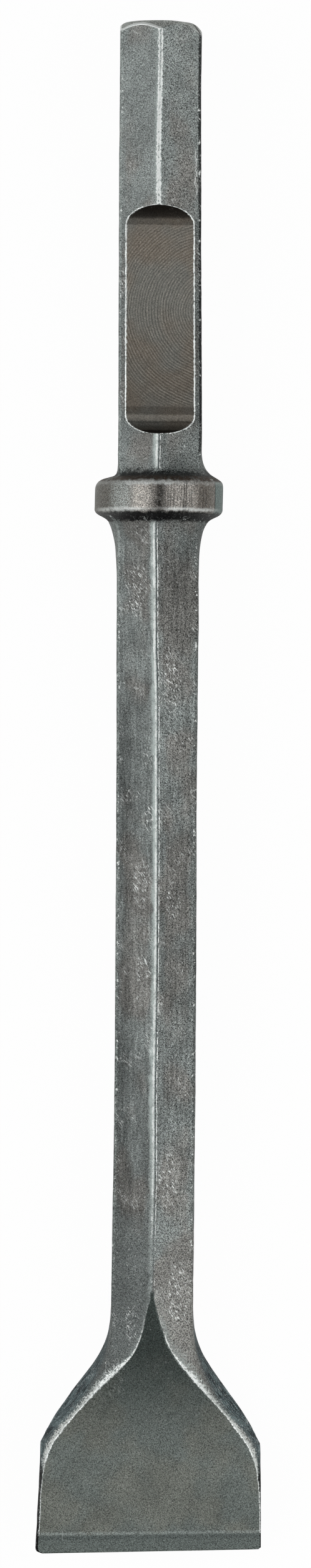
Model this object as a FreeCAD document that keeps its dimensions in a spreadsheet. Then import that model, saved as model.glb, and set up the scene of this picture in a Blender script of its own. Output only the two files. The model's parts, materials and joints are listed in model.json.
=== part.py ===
import FreeCAD, Part
import math
import os
import re
import Sketcher

# Hex shank spade chisel, forged in one piece. Millimetres and degrees.
# The body is drawn with its axis along Z: the cutting edge is at Z = 0 and the striking face at the top.
# The notched front looks along -Y. The finished body is then laid down as it rests on a flat floor.

os.makedirs("parts", exist_ok=True)

nodeName = "spade_chisel"
document = FreeCAD.newDocument("SpadeChisel")

drivingSizes = [
    ("overall_length", 538.0, "striking face to cutting edge"),
    ("shank_flats", 28.6, "hexagon across flats, shank and shaft alike"),
    ("corner_radius", 1.5, "rolled corner of the hexagon"),
    ("end_face_radius", 13.0, "flat part of the striking face"),
    ("end_chamfer_angle", 44.0, "slope of the conical chamfer, from the face plane"),
    ("notch_distance", 64.9, "striking face to the near end of the retainer notch"),
    ("notch_length", 79.8, "notch, end to end at its mouth"),
    ("notch_floor_height", 9.7, "notch floor above the axis"),
    ("notch_end_radius", 6.3, "run-out left by the cutter at each end"),
    ("collar_distance", 160.0, "striking face to the collar's upper face"),
    ("collar_diameter", 45.4, "collar, outside"),
    ("collar_band", 11.2, "upper face to the start of the lower chamfer"),
    ("collar_edge_radius", 2.6, "upper rim"),
    ("collar_chamfer_width", 2.5, "lower chamfer, measured across"),
    ("collar_chamfer_depth", 2.4, "lower chamfer, measured along"),
    ("collar_root_radius", 6.0, "fillet from the shank to the upper face"),
    ("underside_angle", 65.0, "underside of the collar, from the axis"),
    ("throat_radius", 7.0, "tight part of the throat"),
    ("throat_angle", 17.0, "where the tight part meets the tail"),
    ("tail_radius", 50.0, "long part of the throat"),
    ("blend_depth", 0.5, "how far collar blends start below the flats"),
    ("flare_distance", 85.4, "cutting edge to the start of the flare"),
    ("concave_radius", 31.0, "flare outline, where it leaves the shaft"),
    ("flare_angle", 37.0, "flare outline, steepest angle from the axis"),
    ("flare_straight", 11.5, "straight stretch of the outline, along the axis"),
    ("convex_radius", 85.0, "flare outline, towards the shoulder"),
    ("edge_lag", 10.0, "the front edges flare later than the outline"),
    ("edge_rise", 2.4, "the front edges rise as the flanks are drawn out"),
    ("edge_rise_length", 11.0, "stretch over which they rise"),
    ("blade_width", 79.6, "width at the cutting edge"),
    ("side_draft", 2.05, "each trimmed side opens towards the cutting edge"),
    ("wedge_length", 93.2, "cutting edge to the point of each wedge face"),
    ("blade_thickness", 6.6, "thickness where the bevels start"),
    ("bevel_length", 6.6, "ground bevel, along the axis"),
    ("edge_land", 0.8, "flat left on the cutting edge"),
    ("cut_allowance", 8.0, "how far the cuts reach past the steel"),
]

sheet = document.addObject("Spreadsheet::Sheet", "sizes")
for rowIndex, (alias, value, note) in enumerate(drivingSizes, start=1):
    sheet.set(f"A{rowIndex}", alias)
    sheet.set(f"B{rowIndex}", str(value))
    sheet.set(f"C{rowIndex}", note)
    sheet.setAlias(f"B{rowIndex}", alias)
document.recompute()

aliasPattern = re.compile(r"\b(" + "|".join(alias for alias, _, _ in drivingSizes) + r")\b")


def bound(text):
    """Points every size named in a formula at its cell in the sheet."""
    return aliasPattern.sub(r"<<sizes>>.\1", text)


def worth(text):
    """Value of a formula with the sizes as they are now."""
    return float(sheet.evalExpression(text))


# Formulas for lines that several features share.
halfFlats = "shank_flats / 2"
ridgeRadius = "shank_flats / sqrt(3)"
hexEdgeHeight = "shank_flats / 2 * tan(30)"
bladeHalf = "blade_width / 2"


def outlineHalf(distance):
    """Half-width of the flare at a distance below its start: arc, straight, then arc the other way."""
    arcEnd = "(concave_radius * sin(flare_angle))"
    straightEnd = f"({arcEnd} + flare_straight)"
    arcRise = "concave_radius * (1 - cos(flare_angle))"
    sine = f"max(sin(flare_angle) - (({distance}) - {straightEnd}) / convex_radius; 0)"
    onArc = f"concave_radius - sqrt(max(concave_radius ^ 2 - ({distance}) ^ 2; 0))"
    onStraight = f"{arcRise} + (({distance}) - {arcEnd}) * tan(flare_angle)"
    onReturn = (f"{arcRise} + flare_straight * tan(flare_angle)"
                f" + convex_radius * (sqrt(1 - ({sine}) ^ 2) - cos(flare_angle))")
    return (f"{halfFlats} + (({distance}) <= 0 ? 0 : (({distance}) < {arcEnd} ? {onArc} : "
            f"(({distance}) < {straightEnd} ? {onStraight} : {onReturn})))")


def sectionCorners(distance):
    """Corners of the bar's section at a distance below the start of the flare, front and back alike."""
    middle = outlineHalf(distance)
    late = f"({distance}) - edge_lag"
    edge = outlineHalf(late)
    height = f"{hexEdgeHeight} + edge_rise * min(max(({late}) / edge_rise_length; 0); 1)"
    return [
        ("0", f"-({ridgeRadius})", True),
        (edge, f"-({height})", True),
        (middle, "0", False),
        (edge, height, True),
        ("0", ridgeRadius, True),
        (f"-({edge})", height, True),
        (f"-({middle})", "0", False),
        (f"-({edge})", f"-({height})", True),
    ]


def planeOf(body, role):
    return next(feature for feature in body.Origin.OriginFeatures if feature.Role == role)


def newSketch(body, name, role, offset=None):
    """Sketch on one of the body's own planes, moved along that plane's normal by a formula."""
    sketch = body.newObject("Sketcher::SketchObject", name)
    sketch.AttachmentSupport = (planeOf(body, role), [""])
    sketch.MapMode = "FlatFace"
    if offset is not None:
        sketch.setExpression("AttachmentOffset.Base.z", bound(offset))
    return sketch


def placePoint(sketch, geometry, position, xText, yText, name):
    """Ties one point of the sketch to its two coordinates, or to an axis where a coordinate is nought."""
    horizontalAxis, verticalAxis = -1, -2
    if xText == "0":
        sketch.addConstraint(Sketcher.Constraint("PointOnObject", geometry, position, verticalAxis))
    else:
        index = sketch.addConstraint(
            Sketcher.Constraint("DistanceX", horizontalAxis, 1, geometry, position, worth(xText)))
        sketch.renameConstraint(index, name + "Across")
        sketch.setExpression(f"Constraints.{name}Across", bound(xText))
    if yText == "0":
        sketch.addConstraint(Sketcher.Constraint("PointOnObject", geometry, position, horizontalAxis))
    else:
        index = sketch.addConstraint(
            Sketcher.Constraint("DistanceY", horizontalAxis, 1, geometry, position, worth(yText)))
        sketch.renameConstraint(index, name + "Along")
        sketch.setExpression(f"Constraints.{name}Along", bound(yText))


def bindRadius(sketch, geometry, radiusText, name):
    index = sketch.addConstraint(Sketcher.Constraint("Radius", geometry, worth(radiusText)))
    sketch.renameConstraint(index, name)
    sketch.setExpression(f"Constraints.{name}", bound(radiusText))


def drawRoundedSection(sketch, corners, radiusText):
    """Closed section whose marked corners are rounded by an arc tangent to both sides."""
    points = [FreeCAD.Vector(worth(x), worth(y), 0) for x, y, _ in corners]
    radius = worth(radiusText)
    count = len(points)
    starts, ends, arcs = [], [], []
    for index, point in enumerate(points):
        before = (points[index - 1] - point).normalize()
        after = (points[(index + 1) % count] - point).normalize()
        if corners[index][2]:
            halfCorner = before.getAngle(after) / 2
            reach = radius / math.tan(halfCorner)
            centre = point + (before + after).normalize() * (radius / math.sin(halfCorner))
            middle = centre + (point - centre).normalize() * radius
            arcs.append(Part.Arc(point + before * reach, middle, point + after * reach))
            ends.append(point + before * reach)
            starts.append(point + after * reach)
        else:
            arcs.append(None)
            ends.append(point)
            starts.append(point)
    lineIds = []
    for index in range(count):
        segment = Part.LineSegment(starts[index], ends[(index + 1) % count])
        lineIds.append(sketch.addGeometry(segment, False))
    for index, arc in enumerate(arcs):
        lineIn, lineOut = lineIds[index - 1], lineIds[index]
        xText, yText, _ = corners[index]
        if arc is None:
            sketch.addConstraint(Sketcher.Constraint("Coincident", lineIn, 2, lineOut, 1))
            placePoint(sketch, lineOut, 1, xText, yText, f"corner{index}")
            continue
        arcId = sketch.addGeometry(arc, False)
        sketch.addConstraint(Sketcher.Constraint("Tangent", lineIn, 2, arcId, 1))
        sketch.addConstraint(Sketcher.Constraint("Tangent", arcId, 2, lineOut, 1))
        bindRadius(sketch, arcId, radiusText, f"round{index}")
        pointId = sketch.addGeometry(Part.Point(points[index]), True)
        sketch.addConstraint(Sketcher.Constraint("PointOnObject", pointId, 1, lineIn))
        sketch.addConstraint(Sketcher.Constraint("PointOnObject", pointId, 1, lineOut))
        placePoint(sketch, pointId, 1, xText, yText, f"corner{index}")


def drawProfile(sketch, corners, bends=None, prefix=""):
    """Closed profile through corners given by formulas. A bend turns the side after a corner into an arc:
    its radius, and +1 where the arc's centre lies left of the way round, -1 where it lies right."""
    bends = bends or {}
    points = [FreeCAD.Vector(worth(x), worth(y), 0) for x, y in corners]
    count = len(points)
    geometry = []
    for index, start in enumerate(points):
        end = points[(index + 1) % count]
        if index not in bends:
            geometry.append((sketch.addGeometry(Part.LineSegment(start, end), False), 1, 2))
            continue
        radiusText, side = bends[index]
        radius = worth(radiusText)
        chord = end - start
        across = FreeCAD.Vector(-chord.y, chord.x, 0).normalize() * side
        toCentre = math.sqrt(max(radius ** 2 - (chord.Length / 2) ** 2, 0))
        centre = start + chord * 0.5 + across * toCentre
        middle = centre - across * radius
        arcId = sketch.addGeometry(Part.Arc(start, middle, end), False)
        startGap, endGap = (sketch.getPoint(arcId, which).distanceToPoint(start) for which in (1, 2))
        forward = startGap < endGap
        geometry.append((arcId, 1, 2) if forward else (arcId, 2, 1))
        bindRadius(sketch, arcId, radiusText, f"{prefix}bend{index}")
    for index, (geometryId, first, _) in enumerate(geometry):
        previousId, _, last = geometry[index - 1]
        sketch.addConstraint(Sketcher.Constraint("Coincident", previousId, last, geometryId, first))
        placePoint(sketch, geometryId, first, corners[index][0], corners[index][1], f"{prefix}corner{index}")


def cutThrough(body, name, sketch):
    """Pocket on both sides of its sketch, wider than the blade."""
    cut = body.newObject("PartDesign::Pocket", name)
    cut.Profile = sketch
    cut.SideType = "Symmetric"
    cut.setExpression("Length", bound("2 * (blade_width + cut_allowance)"))
    return cut


body = document.addObject("PartDesign::Body", "Chisel")
body.Label = nodeName

# Shank and shaft: one rolled hexagonal bar, a corner to the front, from the flare to the striking face.
barSketch = newSketch(body, "BarSection", "XY_Plane", "flare_distance")
drawRoundedSection(barSketch, sectionCorners("0"), "corner_radius")
bar = body.newObject("PartDesign::Pad", "Bar")
bar.Profile = barSketch
bar.setExpression("Length", bound("overall_length - flare_distance"))
document.recompute()

# Flare: the bar drawn out sideways. Its sections follow the outline's two arcs and run on, wider than
# the blade, to the cutting edge.
concaveSteps, straightSteps, convexSteps = 5, 2, 4
stations = ["0"]
for step in range(1, concaveSteps + 1):
    stations.append(f"concave_radius * sin(flare_angle * {step} / {concaveSteps})")
for step in range(1, straightSteps + 1):
    stations.append(f"concave_radius * sin(flare_angle) + flare_straight * {step} / {straightSteps}")
for step in range(1, convexSteps + 1):
    straightEnd = "concave_radius * sin(flare_angle) + flare_straight"
    stations.append(f"{straightEnd} + (flare_distance - ({straightEnd})) * {step} / {convexSteps}")
flareSketches = []
for number, station in enumerate(stations):
    flareSketch = newSketch(body, f"FlareSection{number}", "XY_Plane", f"flare_distance - ({station})")
    drawRoundedSection(flareSketch, sectionCorners(station), "corner_radius")
    flareSketches.append(flareSketch)
flare = body.newObject("PartDesign::AdditiveLoft", "Flare")
flare.Profile = flareSketches[0]
flare.Sections = flareSketches[1:]
flare.Ruled = False
document.recompute()

# Trimmed sides of the blade.
sideSketch = newSketch(body, "TrimmedSides", "XZ_Plane")
for side, prefix in (("", "right"), ("-", "left")):
    drawProfile(sideSketch, [
        (f"{side}({bladeHalf} + cut_allowance * tan(side_draft))", "-cut_allowance"),
        (f"{side}(blade_width + cut_allowance)", "-cut_allowance"),
        (f"{side}(blade_width + cut_allowance)", "flare_distance"),
        (f"{side}({bladeHalf} - flare_distance * tan(side_draft))", "flare_distance"),
    ], prefix=prefix)
sideCut = cutThrough(body, "SideTrim", sideSketch)

# Wedge faces, front and back, each running out in a point on its ridge, and the ground bevels.
wedgeSketch = newSketch(body, "WedgeFaces", "YZ_Plane")
for side, prefix in (("-", "front"), ("", "back")):
    drawProfile(wedgeSketch, [
        (f"{side}({ridgeRadius})", "wedge_length"),
        (f"{side}(blade_thickness / 2)", "bevel_length"),
        (f"{side}(edge_land / 2)", "0"),
        (f"{side}(edge_land / 2)", "-cut_allowance"),
        (f"{side}({ridgeRadius} + cut_allowance)", "-cut_allowance"),
        (f"{side}({ridgeRadius} + cut_allowance)", "wedge_length"),
    ], prefix=prefix)
wedgeCut = cutThrough(body, "WedgeCut", wedgeSketch)

# Collar: upper face, rounded rim, lower chamfer, underside and the throat that runs out on the shaft.
collarTop = "(overall_length - collar_distance)"
bandEnd = f"({collarTop} - collar_band)"
chamferEnd = f"({bandEnd} - collar_chamfer_depth)"
collarHalf = "collar_diameter / 2"
blendHalf = f"({halfFlats} - blend_depth)"
tailTop = f"({blendHalf} + tail_radius * (1 - cos(throat_angle)))"
throatTop = f"({tailTop} + throat_radius * (cos(throat_angle) - cos(underside_angle)))"
underside = f"(({collarHalf} - collar_chamfer_width - {throatTop}) / tan(underside_angle))"
throatStart = f"({chamferEnd} - {underside})"
tailStart = f"({throatStart} - throat_radius * (sin(underside_angle) - sin(throat_angle)))"
tailEnd = f"({tailStart} - tail_radius * sin(throat_angle))"
collarSketch = newSketch(body, "CollarProfile", "XZ_Plane")
drawProfile(collarSketch, [
    ("0", tailEnd),
    (blendHalf, tailEnd),
    (tailTop, tailStart),
    (throatTop, throatStart),
    (f"{collarHalf} - collar_chamfer_width", chamferEnd),
    (collarHalf, bandEnd),
    (collarHalf, f"{collarTop} - collar_edge_radius"),
    (f"{collarHalf} - collar_edge_radius", collarTop),
    (f"{blendHalf} + collar_root_radius", collarTop),
    (blendHalf, f"{collarTop} + collar_root_radius"),
    ("0", f"{collarTop} + collar_root_radius"),
], bends={1: ("tail_radius", -1), 2: ("throat_radius", -1), 6: ("collar_edge_radius", 1),
          8: ("collar_root_radius", -1)})
collar = body.newObject("PartDesign::Revolution", "Collar")
collar.Profile = collarSketch
collar.ReferenceAxis = (collarSketch, ["V_Axis"])
collar.Angle = 360
document.recompute()

# Retainer notch, milled through the front corner of the shank.
notchTop = "(overall_length - notch_distance)"
notchBottom = f"({notchTop} - notch_length)"
notchMouth = f"-({ridgeRadius} + cut_allowance)"
notchSketch = newSketch(body, "NotchProfile", "YZ_Plane")
drawProfile(notchSketch, [
    ("-notch_floor_height", f"{notchBottom} + notch_end_radius"),
    ("-notch_floor_height", f"{notchTop} - notch_end_radius"),
    ("-(notch_floor_height + notch_end_radius)", notchTop),
    (notchMouth, notchTop),
    (notchMouth, notchBottom),
    ("-(notch_floor_height + notch_end_radius)", notchBottom),
], bends={1: ("notch_end_radius", 1), 5: ("notch_end_radius", 1)})
notchCut = cutThrough(body, "Notch", notchSketch)

# Conical chamfer round the striking face.
chamferReach = f"({ridgeRadius} + cut_allowance)"
chamferSketch = newSketch(body, "EndChamferProfile", "XZ_Plane")
drawProfile(chamferSketch, [
    ("end_face_radius", "overall_length"),
    (chamferReach, f"overall_length - ({chamferReach} - end_face_radius) * tan(end_chamfer_angle)"),
    (chamferReach, "overall_length"),
])
endChamfer = body.newObject("PartDesign::Groove", "EndChamfer")
endChamfer.Profile = chamferSketch
endChamfer.ReferenceAxis = (chamferSketch, ["V_Axis"])
endChamfer.Angle = 360
document.recompute()


contourFineness = 0.02
sameContact = 0.01
steadyMargin = 0.5


def tipOnto(points, contacts, up, outward):
    """Turns the floor about its contacts, down on the outward side, until it meets one more point."""
    touched, smallest = None, math.pi
    for point in points:
        offset = point - contacts[0]
        if any(point.distanceToPoint(contact) < sameContact for contact in contacts):
            continue
        angle = math.atan2(max(offset.dot(up), 0), offset.dot(outward))
        if angle < smallest:
            touched, smallest = point, angle
    tipped = up * math.cos(smallest) - outward * math.sin(smallest)
    return tipped.normalize(), touched


def squareTo(start, end, up, side):
    """Direction in the floor, square to the line from start to end, on the side that a vector points to."""
    across = up.cross((end - start).normalize())
    return across if across.dot(side) > 0 else across * -1


def restingUp(points, centre, up, fallsTo):
    """Direction, in the body's own frame, that points up once the body has settled on a floor.
    The floor starts square to a first guess and tips until the centre of mass stands safely inside
    three contacts. A body balanced on a line falls to the side that fallsTo gives."""
    contacts = [min(points, key=lambda point: point.dot(up))]
    outward = centre - contacts[0]
    outward = (outward - up * outward.dot(up)).normalize()
    for _ in points:
        up, touched = tipOnto(points, contacts, up, outward)
        contacts.append(touched)
        if len(contacts) == 2:
            outward = squareTo(*contacts, up, fallsTo)
            if outward.dot(centre - touched) < -steadyMargin:
                outward = outward * -1
            continue
        overhung = None
        for opposite, kept in ((contacts[0], contacts[1]), (contacts[1], contacts[0])):
            inward = squareTo(kept, touched, up, opposite - kept)
            if inward.dot(centre - kept) < steadyMargin:
                overhung = [kept, touched]
                outward = inward * -1
        if overhung is None:
            return up
        contacts = overhung
    raise RuntimeError("the body found no rest")


def restingPlacement(shape):
    """Lays the body on its back along +Y, the striking face away, on the plane Z = 0."""
    points = shape.tessellate(contourFineness)[0]
    frontUp = FreeCAD.Vector(0, -1, 0)
    rightHandSide = FreeCAD.Vector(1, 0, 0)
    up = restingUp(points, shape.Solids[0].CenterOfMass, frontUp, rightHandSide)
    along = FreeCAD.Vector(0, 0, 1)
    along = (along - up * along.dot(up)).normalize()
    across = along.cross(up)
    turn = FreeCAD.Placement(FreeCAD.Matrix(
        across.x, across.y, across.z, 0,
        along.x, along.y, along.z, 0,
        up.x, up.y, up.z, 0,
        0, 0, 0, 1))
    box = shape.transformed(turn.toMatrix(), True).optimalBoundingBox(False, False)
    turn.Base = FreeCAD.Vector(-box.Center.x, -box.Center.y, -box.ZMin)
    return turn


body.Placement = restingPlacement(body.Shape)
document.recompute()

for item in document.Objects:
    if "Invalid" in item.State or "Error" in item.State:
        raise RuntimeError(f"{item.Name} did not build: {item.State}")
if body.Shape.isNull() or not body.Shape.isValid() or len(body.Shape.Solids) != 1:
    raise RuntimeError(f"{nodeName} is not one valid solid")

body.Shape.exportStep(f"parts/{nodeName}.step")
solid = body.Shape.Solids[0]
print(f"{nodeName}: {solid.Volume:.1f} mm3, box {solid.optimalBoundingBox(False, False)}")
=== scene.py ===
import bpy
import json
import math
import numpy as np
from mathutils import Matrix, Vector, noise


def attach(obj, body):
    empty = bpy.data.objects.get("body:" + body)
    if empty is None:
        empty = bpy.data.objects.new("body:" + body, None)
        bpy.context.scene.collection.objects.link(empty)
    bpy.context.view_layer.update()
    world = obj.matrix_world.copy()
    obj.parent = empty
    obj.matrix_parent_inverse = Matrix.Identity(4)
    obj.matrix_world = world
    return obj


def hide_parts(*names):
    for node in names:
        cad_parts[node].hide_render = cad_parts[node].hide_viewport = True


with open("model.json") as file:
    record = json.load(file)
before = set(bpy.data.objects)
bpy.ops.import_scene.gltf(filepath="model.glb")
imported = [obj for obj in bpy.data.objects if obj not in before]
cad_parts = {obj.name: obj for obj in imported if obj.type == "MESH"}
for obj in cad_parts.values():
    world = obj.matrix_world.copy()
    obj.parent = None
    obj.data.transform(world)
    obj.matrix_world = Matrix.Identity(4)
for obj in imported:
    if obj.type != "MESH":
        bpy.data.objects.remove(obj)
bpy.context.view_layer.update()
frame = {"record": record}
print("frame loaded")

mm = 0.001
farAway = 9.0        # gaps to an edge or a rim are kept up to this many millimetres
noLimit = 99.0       # rows that the end chamfer doesn't reach

# The chisel in millimetres. x runs across the blade, s from the cutting edge to the striking face,
# z from the axis towards the notched front.
chisel = {
    "length": 538.0,
    "flats": 28.6,
    "cornerReach": 0.95,         # how far a rolled corner of the hexagon eats into each flat
    "ridgeHalf": 0.72,           # half the worn flat on the front and back corners
    "ridgeReach": 0.55,
    "faceRadius": 13.0,
    "faceChamfer": 44.0,
    "faceRounding": 0.9,
    "faceDrop": 0.055,           # the striking face falls away a little on the right
    "cornerDrop": 0.066,         # and more so at its right-hand corner
    "notchFar": 473.1,           # end nearer the striking face
    "notchNear": 393.3,
    "notchFloor": 9.7,
    "notchRadius": 6.36,
    "notchReach": 0.14,
    "collarLimit": 22.62,
    "edgeRise": 2.4,
    "edgeRiseLength": 11.0,
    "flareStart": 85.4,
    "edgeLag": 10.0,
    "bladeHalf": 39.74,
    "sideDraft": 1.65,
    "sideLand": (1.1, 0.4),      # left and right width of the side left beside the blade face
    "wedgeLength": 93.2,
    "bladeThickness": 6.6,
    "bevelLength": 6.6,
    "bevelRounding": 0.35,
    "edgeLand": 0.8,
    "edgeSkew": 1.6,             # the edge was ground a little out of square
    "skewFade": 40.0,
    "footRadius": (2.2, 0.9),    # left and right corners of the cutting edge
    "wedgeReach": 0.6,
    "midReach": 1.6,
}

# Half width of the blade's outline before its sides were trimmed, and of its left and right face edges (mm).
outline = ((0, 45.0), (20, 43.2), (30, 41.6), (36, 40.1), (40.9, 37.86), (45.3, 35.54), (49.7, 32.9),
           (54.1, 29.85), (58.5, 26.55), (62.9, 23.3), (67.3, 20.17), (71.7, 17.62), (76.0, 15.9),
           (80.4, 14.86), (84.8, 14.46), (89.2, 14.32), (96.0, 14.3), (110.0, 14.3))
leftFaceEdge = ((0, 39.6), (6.6, 38.95), (13, 38.6), (20, 38.2), (26, 37.75), (31, 37.1), (35, 36.1),
                (39, 34.45), (44, 30.9), (50, 26.05), (56, 20.6), (62, 14.8), (66.1, 10.6), (69, 7.9),
                (72, 5.85), (76, 4.2), (82, 2.55), (88, 1.3))
rightFaceEdge = ((0, 39.6), (6.6, 39.2), (13, 38.95), (20, 38.5), (26, 37.95), (31, 37.2), (35, 36.1),
                 (39, 34.3), (44, 30.9), (50, 26.3), (56, 20.9), (62, 15.1), (66, 11.7), (70, 8.5),
                 (74.7, 5.65), (79.8, 3.8), (84.2, 2.5), (88.7, 1.3))

# Collar, left and right: station and radius, from the shaft to the shank.
collarShape = (
    (340.0, 13.6, 340.0, 13.6), (346.0, 14.15, 346.0, 14.15), (350.5, 14.55, 351.0, 14.5),
    (354.0, 14.95, 355.0, 14.95), (357.3, 15.55, 358.2, 15.5), (360.2, 16.3, 360.8, 16.35),
    (362.0, 17.1, 362.2, 17.2), (363.3, 18.15, 363.3, 18.2), (364.1, 19.4, 364.05, 19.5),
    (364.9, 21.0, 364.9, 21.2), (365.8, 22.15, 365.9, 22.25), (366.9, 22.62, 367.0, 22.62),
    (368.2, 22.6, 368.4, 22.6), (371.0, 22.62, 371.0, 22.62), (374.0, 22.6, 375.0, 22.6),
    (375.5, 22.3, 376.3, 22.35), (376.8, 21.4, 377.2, 21.7), (377.7, 19.8, 378.1, 20.4),
    (378.3, 17.8, 379.0, 18.9), (378.9, 16.0, 380.1, 17.3), (380.1, 14.95, 381.7, 15.9),
    (382.3, 14.35, 383.6, 15.05), (386.0, 13.6, 388.0, 13.7))
collarRise = 3

# Forging is never quite straight: how far the middle, and the front corner, stray across (mm) at a station,
# and how the width varies as a share of the plain bar.
middleStray = ((0, -0.2), (14, 0), (25, 0.2), (36, 0.3), (50, 0.13), (57, 0.07), (68, 0.3), (78, 0.45),
               (90, 0.5), (106, 0.63), (150, 0.78), (194, 0.8), (238, 0.69), (282, 0.42), (326, 0.4),
               (350, 0.22), (360, 0.2), (370, 0.46), (380, 0.62), (392, 0.7), (414, 0.52), (436, 0.3),
               (458, 0.16), (480, 0.02), (502, -0.13), (524, -0.2), (538, -0.2))
ridgeStray = ((0, 0.0), (92, 0.0), (106, -0.13), (133, 0.2), (160, -0.1), (186, 0.1), (212, 0.24),
              (238, 0.26), (278, 0.18), (304, -0.05), (318, -0.6), (344, -0.7), (357, -0.95), (366, -0.9),
              (388, -0.62), (475, -0.5), (489, -0.6), (507, -0.35), (524, -0.05), (538, -0.05))
girth = ((0, 1.0), (90, 1.004), (106, 1.0), (150, 0.994), (194, 0.989), (238, 0.988), (282, 0.985),
         (326, 1.01), (346, 1.0), (380, 1.0), (386, 1.028), (414, 1.022), (436, 1.013), (480, 1.006),
         (520, 1.0), (538, 1.0))

# Steps of the mesh in mm along the tool, and its points round it between corners.
meshing = {
    "bladeStep": 0.88,
    "shaftStep": 1.6,
    "shankStep": 1.5,
    "notchStep": 1.5,
    "archRows": 13,
    "chamferRows": 11,
    "points": (7, 13, 30, 13, 7),    # middle of side, outer corner, cut face or ridge, and back down
    "bendPoints": 5,
}


def smoothCurve(table, samples):
    # Monotone cubic through measured points, so that no bump appears between them.
    xs, ys = np.array(table, float).T
    samples = np.clip(samples, xs[0], xs[-1])
    steps = np.diff(xs)
    slopes = np.diff(ys) / steps
    tangents = np.concatenate([[slopes[0]], (slopes[1:] + slopes[:-1]) / 2, [slopes[-1]]])
    for i in range(1, len(xs) - 1):
        if slopes[i - 1] * slopes[i] <= 0:
            tangents[i] = 0
        else:
            tangents[i] = 2 * slopes[i - 1] * slopes[i] / (slopes[i - 1] + slopes[i])
    i = np.clip(np.searchsorted(xs, samples) - 1, 0, len(steps) - 1)
    t = (samples - xs[i]) / steps[i]
    return ((1 + 2 * t) * (1 - t) ** 2 * ys[i] + t * (1 - t) ** 2 * steps[i] * tangents[i]
            + t * t * (3 - 2 * t) * ys[i + 1] + t * t * (t - 1) * steps[i] * tangents[i + 1])


def softMin(a, b, reach):
    blend = max(reach - abs(a - b), 0.0) / reach
    return min(a, b) - blend * blend * reach * 0.25


def softMax(a, b, reach):
    blend = np.maximum(reach - np.abs(a - b), 0.0) / reach
    return np.maximum(a, b) + blend * blend * reach * 0.25


def cutHeight(s, c, front):
    # Height of the blade face, the worn corner or the notch above the axis.
    top = c["flats"] / math.sqrt(3)
    ridge = top - c["ridgeHalf"] * math.tan(math.radians(30))
    slope = (top - c["bladeThickness"] / 2) / (c["wedgeLength"] - c["bevelLength"])
    wedge = c["bladeThickness"] / 2 + (s - c["bevelLength"]) * slope
    bevelSlope = (c["bladeThickness"] - c["edgeLand"]) / 2 / c["bevelLength"]
    bevel = c["edgeLand"] / 2 + s * bevelSlope
    height = min(softMin(wedge, bevel, c["bevelRounding"]), ridge)
    if front and c["notchNear"] <= s <= c["notchFar"]:
        fromEnd = min(s - c["notchNear"], c["notchFar"] - s)
        inward = c["notchRadius"] - min(fromEnd, c["notchRadius"])
        rise = c["notchRadius"] - math.sqrt(max(c["notchRadius"] ** 2 - inward ** 2, 0.0))
        height = min(height, c["notchFloor"] + rise)
    return height


def quarterCorners(s, c, front, left):
    # Middle of the side, outer corner and edge of the cut face for one quarter of the section.
    half = c["flats"] / 2
    ridge = c["flats"] / math.sqrt(3)
    height = cutHeight(s, c, front)
    distance = c["flareStart"] - s
    middle = float(smoothCurve(outline, s)) if distance > -10 else half
    cornerHeight = half * math.tan(math.radians(30))
    cornerHeight += c["edgeRise"] * min(max((distance - c["edgeLag"]) / c["edgeRiseLength"], 0.0), 1.0)
    corner = float(smoothCurve(outline, s + c["edgeLag"])) if distance > 0 else half
    flatEnd = corner * (ridge - height) / (ridge - cornerHeight)
    if s >= c["wedgeLength"] - 6:
        return (middle, 0.0), (corner, cornerHeight), (flatEnd, height)
    wobble = 0.18 * noise.noise(Vector((s * 0.35, 3.0 if left else 7.0, 11.0 if front else 17.0)))
    leftEdge, rightEdge = float(smoothCurve(leftFaceEdge, s)), float(smoothCurve(rightFaceEdge, s))
    cut = (leftEdge if left else rightEdge) if front else (leftEdge + rightEdge) / 2
    cut += wobble
    blend = min(max((s - 80) / (c["wedgeLength"] - 86), 0.0), 1.0)
    cut = cut * (1 - blend) + flatEnd * blend
    if height > cornerHeight + 0.3:
        return (middle, 0.0), (corner, cornerHeight), (cut, height)
    # Lower down the flat has run out, and the band beside the face bulges outward a little.
    share = 0.45 + 0.5 * min(max((50 - s) / 9, 0.0), 1.0)
    bulge = 0.05 * (middle - cut) * min(max((s - 40) / 8, 0.0), 1.0)
    blend = min((cornerHeight + 0.3 - height) / 2.0, 1.0)
    highCorner = (min(corner, middle - 0.5), height - 0.4)
    lowCorner = (cut + (middle - cut) * share + bulge, height * (1 - share))
    corner = tuple(highCorner[k] * (1 - blend) + lowCorner[k] * blend for k in (0, 1))
    radius = c["footRadius"][0 if left else 1]
    inset = radius - math.sqrt(radius ** 2 - (radius - s) ** 2) if s < radius else 0.0
    side = c["bladeHalf"] - s * math.tan(math.radians(c["sideDraft"])) - inset
    if middle <= side:
        return (middle, 0.0), corner, (cut, height)
    land = c["sideLand"][0 if left else 1] * min(max((30 - s) / 12, 0.0), 1.0)
    cut = min(cut - inset, side - land - 0.05)
    reach = (middle - side) / max(middle - cut, 1e-6) * height
    reach = max(min(reach, height * (0.55 if left else 0.85)), 0.02)
    return (side, 0.0), (side, reach), (cut, height)


def bendPoints(before, corner, after, reach, count):
    first, second = before - corner, after - corner
    firstLength, secondLength = np.linalg.norm(first), np.linalg.norm(second)
    start = corner + first / firstLength * min(reach, firstLength * 0.46)
    end = corner + second / secondLength * min(reach, secondLength * 0.46)
    steps = np.linspace(0, 1, count)[:, None]
    return (1 - steps) ** 2 * start + 2 * steps * (1 - steps) * corner + steps ** 2 * end


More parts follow.
